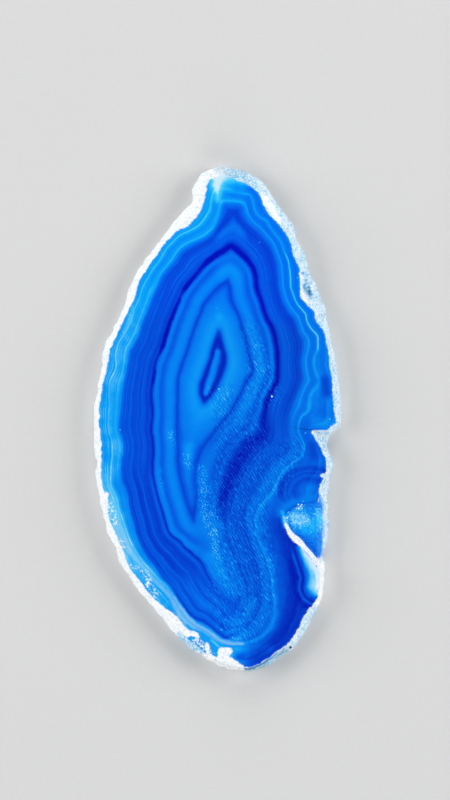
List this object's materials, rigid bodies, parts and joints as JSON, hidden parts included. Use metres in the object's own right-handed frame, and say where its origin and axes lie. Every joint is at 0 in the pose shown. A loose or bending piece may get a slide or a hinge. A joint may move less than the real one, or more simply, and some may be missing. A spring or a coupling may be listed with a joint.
{
  "type": "agate slice",
  "caption": "Long flat slice of blue-dyed banded agate with a rough white rind, an edge chip and a notch; it lies flat as a decorative stone or coaster.",
  "frame": {"origin": "centre of the bounding box on the flat underside", "axes": "+Z out of the polished face, +Y along the length towards the narrow end, +X towards the side with the notch and the chip"},
  "size_m": [0.062, 0.1264, 0.0055],
  "materials": {
    "dyed_agate": "polished"
  },
  "bodies": {
    "root": {"agate_slice": "dyed_agate"}
  },
  "joints": []
}
